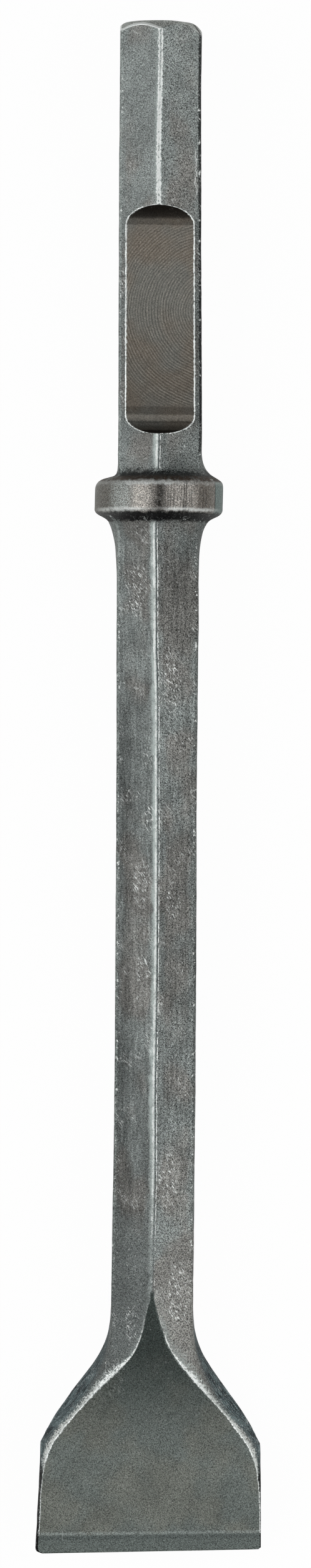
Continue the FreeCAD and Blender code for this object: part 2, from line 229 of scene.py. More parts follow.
def sectionLoop(s, c, m):
    # Ten corners, starting at the right-hand side and going over the front.
    stray = float(np.interp(s, *zip(*ridgeStray)))
    inFlare = min(max((c["flareStart"] + 4 - s) / 14, 0.0), 1.0)
    outerReach = c["cornerReach"] + (c["midReach"] - c["cornerReach"]) * inFlare
    if s < c["flareStart"] - 44:
        outerReach = 0.4
    loop, reaches = [], []
    for front in (True, False):
        right = quarterCorners(s, c, front, False)
        left = quarterCorners(s, c, front, True)
        height = right[2][1]
        narrow = 1 - min(max((right[2][0] - c["ridgeHalf"]) / 6.0, 0.0), 1.0)
        shift = stray * narrow
        inNotch = front and c["notchNear"] < s < c["notchFar"]
        cutReach = c["wedgeReach"] if s < c["wedgeLength"] - 1.5 else c["ridgeReach"]
        cutReach = c["notchReach"] if inNotch else cutReach
        quarter = [right[0], right[1], (right[2][0] + shift, height), (-left[2][0] + shift, height),
                   (-left[1][0], left[1][1])]
        if not front:
            quarter = [(-left[0][0], 0.0), (-left[1][0], -left[1][1]), (-left[2][0] + shift, -height),
                       (right[2][0] + shift, -height), (right[1][0], -right[1][1])]
        loop += quarter
        reaches += [c["midReach"] if inFlare > 0 else 0.5, outerReach, cutReach, cutReach, outerReach]
    corners = np.array(loop)
    count = len(corners)
    for i in (0, 5):
        # Rounding the middle of the side would narrow the outline, so that corner starts further out.
        for near in (corners[i - 1], corners[i + 1]):
            reach = min(reaches[i] / np.linalg.norm(near - corners[i]), 0.46)
            corners[i][0] -= 0.25 * reach * (near - corners[i])[0]
    bends = [bendPoints(corners[i - 1], corners[i], corners[(i + 1) % count], reaches[i], m["bendPoints"])
             for i in range(count)]
    perSide = m["points"] * 2
    facetAt = (-1, 0, 1, 0, -1) * 2
    flowAt = (0, 0.5, 1, 1, 0.5) * 2 + (0,)
    half = m["bendPoints"] // 2
    points, facet, flow = [], [], []
    for i in range(count):
        start, end = bends[i][-1], bends[(i + 1) % count][0]
        steps = np.linspace(0, 1, perSide[i] + 2)[1:-1]
        points.append(np.vstack([bends[i], start + (end - start) * steps[:, None]]))
        here, before = facetAt[i], facetAt[i - 1]
        facet += [before] * half + [(here + before) / 2] + [here] * (m["bendPoints"] - half - 1 + perSide[i])
        flow += [flowAt[i]] * m["bendPoints"] + list(flowAt[i] * (1 - steps) + flowAt[i + 1] * steps)
    cutCorners = [corners[k] for k in (2, 3, 7, 8)]
    return np.vstack(points), np.array(facet, float), np.array(flow, float), cutCorners


def rowPlan(c, m):
    # Each row: its station, its place in the collar table (or None), and the radius the end chamfer allows.
    rows = [(s, None, noLimit) for s in np.linspace(0, c["bevelLength"] - 0.8, 9)]
    rows += [(c["bevelLength"] + d, None, noLimit) for d in (-0.45, -0.2, 0.0, 0.25, 0.6)]
    onBlade = np.arange(c["bevelLength"] + 1.2, c["wedgeLength"] + 4, m["bladeStep"])
    rows += [(s, None, noLimit) for s in onBlade]
    count = round((collarShape[0][0] - rows[-1][0]) / m["shaftStep"])
    rows += [(s, None, noLimit) for s in np.linspace(rows[-1][0], collarShape[0][0], count + 1)[1:-1]]
    places = np.linspace(0, len(collarShape) - 1, (len(collarShape) - 1) * collarRise + 1)
    index = np.arange(len(collarShape), dtype=float)
    mean = [(p[0] + p[2]) / 2 for p in collarShape]
    rows += [(float(np.interp(p, index, mean)), p, noLimit) for p in places]
    above = collarShape[-1][2] + 0.6
    count = round((c["notchNear"] - 0.3 - above) / m["shankStep"])
    rows += [(s, None, noLimit) for s in np.linspace(above, c["notchNear"] - 0.3, count + 1)]
    arch = [c["notchRadius"] * (1 - math.cos(a)) for a in np.linspace(0, math.pi / 2, m["archRows"])]
    rows += [(c["notchNear"] + max(d, 1e-4), None, noLimit) for d in arch]
    first, last = c["notchNear"] + c["notchRadius"], c["notchFar"] - c["notchRadius"]
    count = round((last - first) / m["notchStep"])
    rows += [(s, None, noLimit) for s in np.linspace(first, last, count + 1)[1:]]
    rows += [(c["notchFar"] - max(d, 1e-4), None, noLimit) for d in arch[-2::-1]]
    rows += [(c["notchFar"] + 0.3, None, noLimit)]
    slope = math.tan(math.radians(c["faceChamfer"]))
    low = c["length"] - (c["flats"] / math.sqrt(3) - c["faceRadius"]) * slope - 0.3
    count = round((low - rows[-1][0]) / m["shankStep"])
    rows += [(s, None, noLimit) for s in np.linspace(rows[-1][0], low, count + 1)[1:]]
    rounding = c["faceRounding"]
    for s in np.linspace(low, c["length"] - rounding, m["chamferRows"])[1:]:
        rows.append((s, None, c["faceRadius"] + (c["length"] - s) / slope))
    outer = c["faceRadius"] + rounding / slope
    for step in (0.35, 0.65, 0.85, 1.0):
        rows.append((c["length"] - rounding * (1 - step) ** 2, None,
                     outer - (outer - c["faceRadius"] + 1.2) * step))
    rows += [(c["length"], None, (c["faceRadius"] - 1.2) * t) for t in (0.88, 0.7, 0.5, 0.3, 0.12)]
    return rows


def buildChiselGrid(c, m):
    grid, facets, flows, rims, cuts, beside = [], [], [], [], [], []
    index = np.arange(len(collarShape), dtype=float)
    shape = np.array(collarShape)
    for s, place, limit in rowPlan(c, m):
        points, facet, flow, cutCorners = sectionLoop(s, c, m)
        radius = np.linalg.norm(points, axis=1)
        wanted = radius.copy()
        station = np.full(len(points), float(s))
        if place is not None:
            right = 0.5 + 0.5 * points[:, 0] / radius
            values = [smoothCurve(np.column_stack([index, shape[:, k]]), place) for k in range(4)]
            station = values[0] * (1 - right) + values[2] * right
            collar = values[1] * (1 - right) + values[3] * right
            onCollar = collar > c["flats"] / math.sqrt(3) + 0.4
            wanted = np.where(onCollar, np.minimum(collar, c["collarLimit"]), softMax(radius, collar, 0.7))
        rims.append(np.clip(limit - radius, -farAway, farAway))
        if limit < noLimit:
            wanted = -softMax(-wanted, np.full_like(radius, -limit), 0.25)
            if limit < c["faceRadius"]:
                wanted = np.minimum(wanted, limit)
        points = points * (wanted / radius)[:, None]
        grid.append(np.column_stack([points[:, 0], station, points[:, 1]]))
        facets.append(facet)
        flows.append(flow)
        cuts.append([(p[0], s, p[1]) for p in cutCorners])
        beside.append(points[:, 0] - (cutCorners[0][0] + cutCorners[1][0]) / 2)
    return [np.array(part) for part in (grid, facets, flows, rims, cuts, beside)]


def distanceToCuts(grid, cuts):
    # Nearest distance to the edges of the cut faces, taken in space over the neighbouring rows.
    between = (cuts[1:] + cuts[:-1]) / 2
    fine = np.empty((len(cuts) + len(between), *cuts.shape[1:]))
    fine[0::2], fine[1::2] = cuts, between
    nearest = np.full(grid.shape[:2], farAway)
    for i in range(grid.shape[0]):
        near = fine[max(2 * i - 10, 0):2 * i + 11].reshape(-1, 3)
        gap = grid[i][:, None, :] - near[None, :, :]
        nearest[i] = np.minimum(np.sqrt((gap ** 2).sum(axis=2)).min(axis=1), farAway)
    return nearest


def surfaceNormals(grid):
    around = np.roll(grid, -1, axis=1) - np.roll(grid, 1, axis=1)
    normal = np.cross(np.gradient(grid, axis=0), around)
    return normal / np.maximum(np.linalg.norm(normal, axis=2, keepdims=True), 1e-9)


# Waves in the skin: cycles per mm across and along the tool, a shift of the pattern, and depth in mm.
skinWaves = ((0.07, 0.03, 4, 0.13), (0.25, 0.14, 9, 0.09), (0.7, 0.5, 0, 0.045))


def forgingDepth(grid, facets, c):
    # Unevenness left by rolling and forging. Ground and milled faces stay true.
    depth = np.zeros(grid.shape[:2])
    for i in range(grid.shape[0]):
        for j in range(grid.shape[1]):
            x, s, z = grid[i, j]
            depth[i, j] = sum(deep * noise.noise(Vector((x * wide, s * tall, z * wide + shift)))
                              for wide, tall, shift, deep in skinWaves)
    station, height = grid[:, :, 1], grid[:, :, 2]
    milled = (facets > 0.6) & (height > 0) & (station > c["notchNear"]) & (station < c["notchFar"])
    ground = np.clip((c["bevelLength"] + 3 - station) / 3, 0, 1)
    depth *= np.where(milled, 0.1, 1.0) * (1 - 0.9 * ground) * np.where(station > 537, 0.2, 1.0)
    onCollar = (station > 362) & (station < 380)
    inset = np.where(height < 0, -0.16, 0.0)
    inset = np.where((station < 45) & (np.abs(grid[:, :, 0]) > 37), -0.12, inset)
    inset = np.where(onCollar, -0.1, inset)
    return np.where(onCollar, depth * 0.5, depth) + inset * (1 - 0.3 * ground)


record = frame["record"]
mounts = {mount["name"]: mount for mount in record["mounts"]}
alongTool = Vector(mounts["striking_face"]["axis"]).normalized()
outOfFront = Vector(mounts["retainer_notch"]["axis"]).normalized()
acrossTool = alongTool.cross(outOfFront).normalized()
edgeMiddle = Vector(mounts["striking_face"]["pos_m"]) - alongTool * chisel["length"] * mm


def frameMatrix(right, up, out, origin, scale=1.0):
    columns = [list(right * scale) + [0], list(up * scale) + [0], list(out * scale) + [0],
               list(origin) + [1]]
    return Matrix(columns).transposed()


toWorld = frameMatrix(acrossTool, alongTool, outOfFront, edgeMiddle, mm)


def makeChisel(c, m):
    grid, facets, flows, rims, cuts, beside = buildChiselGrid(c, m)
    nearest = distanceToCuts(grid, cuts)
    depth = forgingDepth(grid, facets, c)
    shaped = grid + surfaceNormals(grid) * depth[:, :, None]
    across, station = grid[:, :, 0], grid[:, :, 1]
    drop = c["faceDrop"] * np.clip(across - 3, 0, 20) + c["cornerDrop"] * np.clip(across - 10, 0, 5) ** 2
    shaped[:, :, 1] -= drop * np.clip((station - 520) / 12, 0, 1)
    shaped[:, :, 0] *= np.interp(station, *zip(*girth))
    shaped[:, :, 0] += np.interp(station, *zip(*middleStray))
    fade = np.clip(1 - station / c["skewFade"], 0, 1) ** 1.6
    shaped[:, :, 1] += fade * math.tan(math.radians(c["edgeSkew"])) * (across + c["bladeHalf"])
    rowsCount, columns = grid.shape[:2]
    world = np.array(toWorld)
    vertices = shaped.reshape(-1, 3) @ world[:3, :3].T + world[:3, 3]
    faces = []
    for i in range(rowsCount - 1):
        for j in range(columns):
            k = (j + 1) % columns
            faces.append((i * columns + j, (i + 1) * columns + j, (i + 1) * columns + k, i * columns + k))
    # The striking face closes on its middle; the cutting edge closes as a narrow land, front to back.
    last = (rowsCount - 1) * columns
    centre = len(vertices)
    vertices = np.vstack([vertices, vertices[last:last + columns].mean(axis=0)])
    faces += [(last + j, centre, last + (j + 1) % columns) for j in range(columns)]
    ring = np.roll(np.arange(columns), -(m["bendPoints"] // 2)).tolist()
    for j in range(columns // 2):
        quad = list(dict.fromkeys([ring[j], ring[j + 1], ring[-j - 1], ring[-j]]))
        faces.append(tuple(quad))
    mesh = bpy.data.meshes.new("spadeChiselForging")
    mesh.from_pydata([tuple(v) for v in vertices], [], faces)
    toolSpace = np.vstack([grid.reshape(-1, 3), [0, c["length"], 0]])
    maps = (("toolSpace", "FLOAT_VECTOR", toolSpace),
            ("edgeGap", "FLOAT", np.append(nearest.reshape(-1), farAway)),
            ("rimGap", "FLOAT", np.append(rims.reshape(-1), -farAway)),
            ("facet", "FLOAT", np.append(facets.reshape(-1), 0)),
            ("flow", "FLOAT", np.append(flows.reshape(-1), 0)),
            ("ridgeOffset", "FLOAT", np.append(beside.reshape(-1), farAway)))
    for name, kind, values in maps:
        layer = mesh.attributes.new(name, kind, "POINT")
        layer.data.foreach_set("vector" if kind == "FLOAT_VECTOR" else "value",
                               values.astype(np.float32).reshape(-1))
    for polygon in mesh.polygons:
        polygon.use_smooth = True
    piece = bpy.data.objects.new("spadeChiselForging", mesh)
    bpy.context.scene.collection.objects.link(piece)
    print("chisel mesh:", rowsCount, "rows,", columns, "columns,", len(faces), "faces")
    return piece


def hexColour(text):
    channels = [int(text[i:i + 2], 16) / 255 for i in (1, 3, 5)]
    linear = [v / 12.92 if v <= 0.04045 else ((v + 0.055) / 1.055) ** 2.4 for v in channels]
    return (*linear, 1.0)


def addNode(tree, kind, settings=None, inputs=None):
    node = tree.nodes.new(kind)
    for name, value in (settings or {}).items():
        setattr(node, name, value)
    for name, value in (inputs or {}).items():
        if isinstance(value, bpy.types.NodeSocket):
            tree.links.new(value, node.inputs[name])
        else:
            node.inputs[name].default_value = value
    return node


steel = bpy.data.materials.new("forgedSteel")
steel.use_nodes = True
steelTree = steel.node_tree


def calc(operation, first, second=0.0, third=0.0):
    return addNode(steelTree, "ShaderNodeMath", {"operation": operation},
                   {0: first, 1: second, 2: third}).outputs[0]


def product(*values):
    result = values[0]
    for value in values[1:]:
        result = calc("MULTIPLY", result, value)
    return result


def total(*values):
    result = values[0]
    for value in values[1:]:
        result = calc("ADD", result, value)
    return result


def difference(first, second):
    return calc("SUBTRACT", first, second)


def outside(share):
    return calc("SUBTRACT", 1.0, share)


def gapTo(value, middle):
    return calc("ABSOLUTE", calc("SUBTRACT", value, middle))


def swing(value, reach):
    # a noise brought to swing about zero
    return product(calc("SUBTRACT", value, 0.5), reach)


def most(*values):
    result = values[0]
    for value in values[1:]:
        result = calc("MAXIMUM", result, value)
    return result


def fade(value, start, end, low=0.0, high=1.0):
    # low at start, high at end, smooth between
    inputs = {"Value": value, "From Min": start, "From Max": end, "To Min": low, "To Max": high}
    return addNode(steelTree, "ShaderNodeMapRange", {"interpolation_type": "SMOOTHSTEP"}, inputs).outputs[0]


def within(value, low, high, soft):
    return product(fade(value, low - soft, low + soft), fade(value, high + soft, high - soft))


def blend(factor, first, second, kind="MIX"):
    first, second = [hexColour(v) if isinstance(v, str) else v for v in (first, second)]
    inputs = {0: factor, 6: first, 7: second}
    return addNode(steelTree, "ShaderNodeMix", {"data_type": "RGBA", "blend_type": kind}, inputs).outputs[2]


def level(factor, first, second):
    return addNode(steelTree, "ShaderNodeMix", {"data_type": "FLOAT"},
                   {0: factor, 2: first, 3: second}).outputs[0]


def noiseAt(place, perMm, detail=2.0, roughness=0.5, distortion=0.0):
    inputs = {"Vector": place, "Scale": perMm, "Detail": detail, "Roughness": roughness,
              "Distortion": distortion}
    return addNode(steelTree, "ShaderNodeTexNoise", None, inputs).outputs[0]


def joined(x, y, z):
    return addNode(steelTree, "ShaderNodeCombineXYZ", None, {0: x, 1: y, 2: z}).outputs[0]


def ramp(value, stops):
    node = addNode(steelTree, "ShaderNodeValToRGB", None, {0: calc("DIVIDE", value, chisel["length"])})
    elements = node.color_ramp.elements
    while len(elements) < len(stops):
        elements.new(0.5)
    for element, (station, tone) in zip(elements, stops):
        element.position = station / chisel["length"]
        element.color = (tone, tone, tone, 1)
    return node.outputs[0]


def attribute(name, output="Fac"):
    return addNode(steelTree, "ShaderNodeAttribute", {"attribute_name": name}).outputs[output]


def paintSteel(look):
    shader = steelTree.nodes["Principled BSDF"]
    place = attribute("toolSpace", "Vector")
    edgeGap, rimGap, facet, flow = [attribute(name) for name in ("edgeGap", "rimGap", "facet", "flow")]
    offset = attribute("ridgeOffset")
    across, station, height = addNode(steelTree, "ShaderNodeSeparateXYZ", None, {0: place}).outputs
    front = fade(height, -0.5, 0.5)

    turned = addNode(steelTree, "ShaderNodeMapping", None,
                     {"Vector": place, "Rotation": (0.6, 0.45, 0.8)}).outputs[0]
    grain = noiseAt(turned, look["grainPerMm"], 3.0, 0.6, 0.5)
    coarse = noiseAt(place, 0.55, 2.0)
    rough = total(product(grain, 0.6), product(coarse, 0.4))
    jagged = total(edgeGap, swing(noiseAt(place, 1.1, 3.0, 0.7), 1.25))
    patches = noiseAt(place, 0.05, 2.0)
    clouds = noiseAt(place, 0.11, 3.0)

    # Where each kind of surface lies.
    cut = fade(facet, 0.35, 0.65)
    blade = product(cut, fade(station, 94, 92.5))
    bevel = product(fade(station, 6.9, 6.3), fade(facet, -0.2, 0.4))
    notch = product(cut, front, within(station, chisel["notchNear"], chisel["notchFar"], 0.15))
    collar = within(station, 364.6, 377.0, 0.8)
    sideStart = total(0.4, product(fade(station, 62, 38), 0.45))
    flank = product(fade(difference(sideStart, flow), -0.1, 0.16), fade(station, 92, 80))
    flank = product(flank, outside(cut))

    # Rolled and forged flats: grey scale, teal on the left and browner on the right.
    right = fade(across, -2, 2)
    flareHue = product(fade(station, 118, 92), difference(right, 0.5))
    margin = product(most(fade(flow, 0.62, 0.5), fade(flow, 0.88, 0.98)), -0.12)
    hue = total(patches, margin,
                total(product(right, fade(station, 400, 380, -0.04, 0.05)), product(flareHue, 0.5)))
    brown = fade(hue, 0.42, 0.62)
    flats = blend(brown, look["tealScale"], look["brownScale"])
    # Painted light and shade: the left and right flats are lighter and darker along their length.
    tone = blend(right, ramp(station, look["leftLightAndShade"]), ramp(station, look["rightLightAndShade"]))
    flats = blend(1.0, flats, tone, "MULTIPLY")
    streaks = noiseAt(joined(product(across, 1.1), product(station, 0.1), product(height, 0.9)), 1.0, 3.0)
    streakShare = product(within(station, 118, 358, 8), 0.25)
    streaks = total(1.0, product(fade(streaks, 0.3, 0.7, -1.0, 1.0), streakShare))
    besideNotch = within(station, 396, 470, 3)
    beside = level(besideNotch, 1.0, level(right, 0.76, 0.6))
    flats = blend(1.0, flats, product(fade(clouds, 0.3, 0.7, 0.86, 1.14), streaks, beside), "MULTIPLY")
    # Painted shade: the outer strip of the shaft's left flat is darker.
    outerLeftShade = product(fade(across, -7.0, -10.5), within(station, 106, 300, 20))
    flats = blend(1.0, flats, level(outerLeftShade, 1.0, look["outerLeftShade"]), "MULTIPLY")

    # Flare sides: blue-grey, drawn out along the curve.
    drawn = noiseAt(joined(product(flow, 26.0), product(station, 0.2), right), 1.0, 3.0, 0.6)
    flankColour = blend(fade(drawn, 0.36, 0.68), look["flankDark"], look["flankLight"])
    flankColour = blend(1.0, flankColour, fade(station, 80, 48, 0.78, 1.06), "MULTIPLY")
    steelColour = blend(flank, flats, flankColour)

    # Wedge faces: painted shade, dark olive where the cut starts, greyer towards the edge, with brown and
    # teal clouds.
    faceShadeShare = fade(total(station, swing(clouds, 24.0)), 76, 34)
    faceGrey = blend(fade(patches, 0.42, 0.6), look["faceTeal"], look["faceBrown"])
    faceColour = blend(faceShadeShare, look["faceShade"], faceGrey)
    faceColour = blend(1.0, faceColour, fade(clouds, 0.3, 0.7, 0.9, 1.1), "MULTIPLY")
    steelColour = blend(blade, steelColour, faceColour)
    steelColour = blend(bevel, steelColour, look["bevel"])
    # A band of painted shade across the top of the bevel.
    steelColour = blend(product(within(station, 4.8, 6.4, 0.5), cut, 0.25), steelColour, look["flankDark"])
    bevelLine = product(fade(gapTo(station, 7.1), 0.9, 0.1), cut)
    steelColour = blend(product(bevelLine, fade(coarse, 0.3, 0.6, 0.15, 0.6)), steelColour,
                        look["rubbedSteelAndRimLight"])

    # Milled notch: brown-grey, with the cutter's arcs.
    cutterX = difference(across, look["cutter"][0])
    cutterS = difference(station, look["cutter"][1])
    reach = calc("SQRT", total(product(cutterX, cutterX), product(cutterS, cutterS)))
    wobble = swing(noiseAt(place, 0.1, 2.0), 1.8)
    ring = product(total(reach, wobble), 1.0 / look["cutterStep"])
    uneven = noiseAt(joined(product(ring, 0.9), 0.0, 0.0), 1.0, 2.0)
    arc = total(product(calc("SINE", product(ring, 2 * math.pi)), 0.8), swing(uneven, 1.7))
    onFloor = product(fade(station, 466.8, 465.4), fade(station, 402.4, 404.5), fade(reach, 43, 36))
    arcs = product(fade(arc, 0.1, 0.9), fade(noiseAt(place, 0.3, 2.0), 0.28, 0.6, 0.3, 1.0), onFloor)
    notchColour = blend(fade(patches, 0.4, 0.6), look["notchGrey"], look["notchBrown"])
    notchColour = blend(1.0, notchColour, fade(station, 396, 450, 0.72, 1.08), "MULTIPLY")
    notchColour = blend(product(fade(arc, -0.1, -1.0), onFloor, 0.3), notchColour, look["runOut"])
    notchColour = blend(product(arcs, 0.62), notchColour, look["notchArcAndHighlight"])
    # Painted shade at both run-outs of the notch and in bands across its near end.
    nearEnd = total(station, swing(coarse, 0.9))
    endShade = most(fade(nearEnd, 466.2, 466.8, 0.0, 0.5), fade(nearEnd, 467.0, 469.6, 0.0, 0.92))
    endShade = most(endShade, fade(nearEnd, 396.8, 395.6, 0.0, 0.3))
    for low, high, depth in look["notchShadeBands"]:
        endShade = most(endShade, product(within(nearEnd, low, high, 0.35), depth))
    notchColour = blend(endShade, notchColour, look["runOut"])
    # A painted highlight band across the notch's near run-out.
    pale = product(within(nearEnd, 397.9, 399.9, 0.3), 0.4)
    notchColour = blend(pale, notchColour, look["notchArcAndHighlight"])
    steelColour = blend(notch, steelColour, notchColour)

    # Collar: speckled, with painted shade down its middle and a painted highlight left of it, and the die's
    # streaks on the right.
    around = calc("ARCTAN2", across, height)
    speckle = fade(noiseAt(place, 2.9, 2.0, 0.7), 0.38, 0.66)
    collarLight = blend(fade(around, -0.55, -0.35), look["collarTeal"], look["collarLight"])
    collarColour = blend(speckle, look["collarDark"], collarLight)
    stain = most(within(around, -1.5, -0.83, 0.12), within(around, 0.62, 1.02, 0.14))
    collarColour = blend(product(stain, 0.62), collarColour, look["collarBrown"])
    # Painted shade down the middle of the collar.
    middle = product(within(around, -0.07, 0.1, 0.1), fade(coarse, 0.3, 0.7, 0.75, 1.0))
    # A painted highlight in a band left of the collar's middle.
    paintedShine = within(around, -0.4, -0.17, 0.07)
    collarColour = blend(1.0, collarColour, total(1.0, product(paintedShine, 0.35)), "MULTIPLY")
    collarColour = blend(middle, collarColour, look["collarMiddleShade"])
    lines = noiseAt(joined(product(around, 55.0), product(station, 0.08), 0.0), 1.0, 1.0)
    lines = product(fade(lines, 0.5, 0.62), within(around, 0.1, 0.85, 0.06))
    pair = gapTo(gapTo(around, 0.42), 0.018)
    lines = most(product(lines, 0.6), fade(pair, 0.009, 0.004))
    collarColour = blend(lines, collarColour, look["collarLine"])
    parting = fade(gapTo(around, 1.06), 0.02, 0.006)
    collarColour = blend(fade(around, 1.04, 1.08), collarColour, look["partingFace"])
    collarColour = blend(product(parting, 0.8), collarColour, look["collarLine"])
    steelColour = blend(collar, steelColour, collarColour)

    # Painted shade, with dark scale, in the roots of the collar; painted shade on its underside, the side
    # strips and the flats' corners; a painted highlight on the end cone.
    specks = fade(coarse, 0.35, 0.65, -0.8, 0.8)
    # Painted shade, with dark scale, in the collar's upper root; painted shade on its underside.
    rootTop = within(total(station, specks, swing(grain, 5.0)), 377.6, 380.4, 0.8)
    rootLow = within(total(station, product(specks, 0.4)), 362.6, 365.7, 0.6)
    steelColour = blend(product(rootTop, 0.78), steelColour, look["shadeAndScaleBlack"])
    rootBrown = product(within(station, 376.7, 378.6, 0.4), fade(coarse, 0.3, 0.6, 0.4, 0.95))
    steelColour = blend(rootBrown, steelColour, look["rootBrown"])
    steelColour = blend(product(rootLow, 0.98), steelColour, look["shadeAndScaleBlack"])
    # Painted highlight: the end cone is paler.
    cone = fade(rimGap, 0.05, -0.1)
    steelColour = blend(cone, steelColour, look["cone"])
    # Painted shade on the side strips beside the blade, seen at a grazing angle.
    sideStripShade = product(fade(facet, 0.3, 0.0), fade(station, 36, 28))
    steelColour = blend(sideStripShade, steelColour, look["shadeAndScaleBlack"])
    # Painted shade along the outer corners of the flats, heavier on the right.
    corner = fade(gapTo(flow, 0.5), 0.016, 0.0)
    corner = product(corner, fade(station, 88, 100), outside(within(station, 342, 386, 4.0)))
    cornerShade = product(corner, level(right, fade(station, 430, 340, 0.0, 0.15),
                                       fade(station, 340, 400, 0.25, 0.85)))
    steelColour = blend(cornerShade, steelColour, look["shadeAndScaleBlack"])

    # Grain over everything, finer on the wedge faces.
    strength = level(blade, level(right, look["grainLeft"], look["grainRight"]), look["grainBlade"])
    strength = level(collar, strength, look["grainCollar"])
    strength = level(notch, strength, look["grainNotch"])
    grainTone = total(1.0, product(difference(fade(grain, 0.28, 0.74), 0.48), strength))
    grainTone = product(grainTone, look["scaleTone"])
    steelColour = blend(1.0, steelColour, most(grainTone, 0.12), "MULTIPLY")

    # Bright steel where the scale has been knocked off: ridge, blade and notch edges, rims and flecks, with
    # a painted highlight on the collar's rims and a painted rim light on the left corner.
    shank = fade(station, 472.6, 474.5)
    onBar = product(fade(station, 92, 95), fade(rimGap, 0.0, 0.3), fade(notch, 0.5, 0.0))
    onBar = product(onBar, outside(within(station, 362.3, 381.0, 0.8)))
    shaky = total(offset, swing(noiseAt(place, 1.0, 3.0, 0.75), level(shank, 0.7, 1.9)))
    holes = fade(noiseAt(place, 1.7, 2.0, 0.6), 0.36, 0.5)
    solid = ramp(station, look["ridgeSolid"])
    shankRidge = fade(gapTo(gapTo(shaky, 0.0), 0.5), 0.36, 0.14)
    packed = level(product(solid, 0.55), holes, 1.0)
    shankRidge = most(shankRidge, product(fade(gapTo(shaky, 0.0), 0.9, 0.6), packed, solid))
    shaftRidge = product(within(shaky, 0.6, 0.86, 0.14), fade(coarse, 0.3, 0.6, 0.5, 1.05))
    shaftCore = product(within(shaky, -0.85, -0.05, 0.22),
                        fade(noiseAt(place, 0.2, 2.0), 0.35, 0.65, 0.56, 0.84))
    shaftRidge = most(shaftRidge, shaftCore)
    ridgeWear = product(level(shank, shaftRidge, product(shankRidge, level(holes, 0.5, 1.0), 1.35)), onBar,
                        fade(station, 96, 150, 0.6, 1.0))
    drifting = total(shaky, swing(noiseAt(place, 0.12, 2.0), 3.0))
    lower = fade(station, 104, 150, 0.3, 1.0)
    shaftBand = product(lower, fade(drifting, -2.1, -0.9), fade(shaky, 0.25, -0.1),
                        fade(rough, 0.3, 0.6, 0.65, 1.0))
    shankGlow = product(fade(shaky, -2.0, -0.4), fade(shaky, 1.2, 0.6), total(0.25, product(solid, 0.6)))
    rubbed = product(level(shank, shaftBand, shankGlow), onBar, fade(rough, 0.25, 0.55, 0.7, 1.0))
    ridgeGroove = product(within(shaky, 0.16, 0.4, 0.12), onBar, outside(shank),
                          fade(station, 110, 170, 0.35, 0.68))
    steelColour = blend(ridgeGroove, steelColour, look["flankDark"])
    steelColour = blend(rubbed, steelColour, look["rubbedSteelAndRimLight"])
    chips = difference(noiseAt(place, 1.25, 3.0, 0.85), 0.5)
    faceSide = level(cut, 1.0, 0.14)
    coreWidth = level(fade(station, 72, 60), 0.8, level(fade(station, 52, 42), level(right, 2.8, 2.6), 3.8))
    coreWidth = product(level(fade(station, 38, 28), coreWidth, 0.6), faceSide)
    worksEdge = product(fade(station, 96, 93), fade(station, 6, 7))
    coreGap = calc("DIVIDE", edgeGap, coreWidth)
    core = total(coreGap, product(chips, 4.8))
    vEdge = product(fade(core, 0.75, 0.4), fade(coreGap, 1.6, 1.1), worksEdge,
                    fade(station, 92, 62, 0.35, 1.0))
    rubWidth = level(fade(station, 72, 60), level(right, 2.2, 5.0), 4.2)
    rubWidth = product(level(fade(station, 36, 26), rubWidth, 0.9), faceSide)
    rubGap = calc("DIVIDE", edgeGap, rubWidth)
    rub = total(rubGap, product(chips, 3.6))
    rub = product(fade(rub, 0.85, 0.3), fade(rubGap, 1.5, 0.9), worksEdge, fade(station, 82, 60, 0.12, 0.7))
    steelColour = blend(rub, steelColour, look["rubbedSteelAndRimLight"])
    notchLine = product(fade(jagged, 0.4, 0.1), within(station, 392.9, 473.5, 0.2), front, 1.25)
    rimShare = total(fade(across, 1.2, -0.6, 0.0, 1.15), fade(across, 8.5, 11.0, 0.0, 0.6))
    rimLeft = product(fade(gapTo(rimGap, 0.0), 0.85, 0.25), rimShare, fade(station, 524, 526))
    # The collar's rims: worn bright steel together with a painted highlight.
    rimHigh = product(within(total(station, product(specks, 0.4)), 375.6, 376.6, 0.9),
                      fade(grain, 0.3, 0.6, 0.5, 1.0))
    rimHigh = product(rimHigh, fade(gapTo(around, -0.15), 0.62, 0.25, 0.25, 1.0), 1.2)
    rimLow = product(within(total(station, product(specks, 0.25)), 366.2, 367.0, 0.8),
                     within(around, -1.2, 1.1, 0.3))
    rimLow = product(rimLow, fade(coarse, 0.3, 0.55, 0.5, 1.0),
                     fade(gapTo(around, -0.05), 0.1, 0.3, 0.3, 1.0))
    steelColour = blend(most(rimHigh, product(rimLow, 0.9)), steelColour, look["bareSteelAndGlint"])
    hairline = product(fade(gapTo(across, -30.1), 0.14, 0.03), within(station, 4.6, 8.2, 0.3), 0.35)
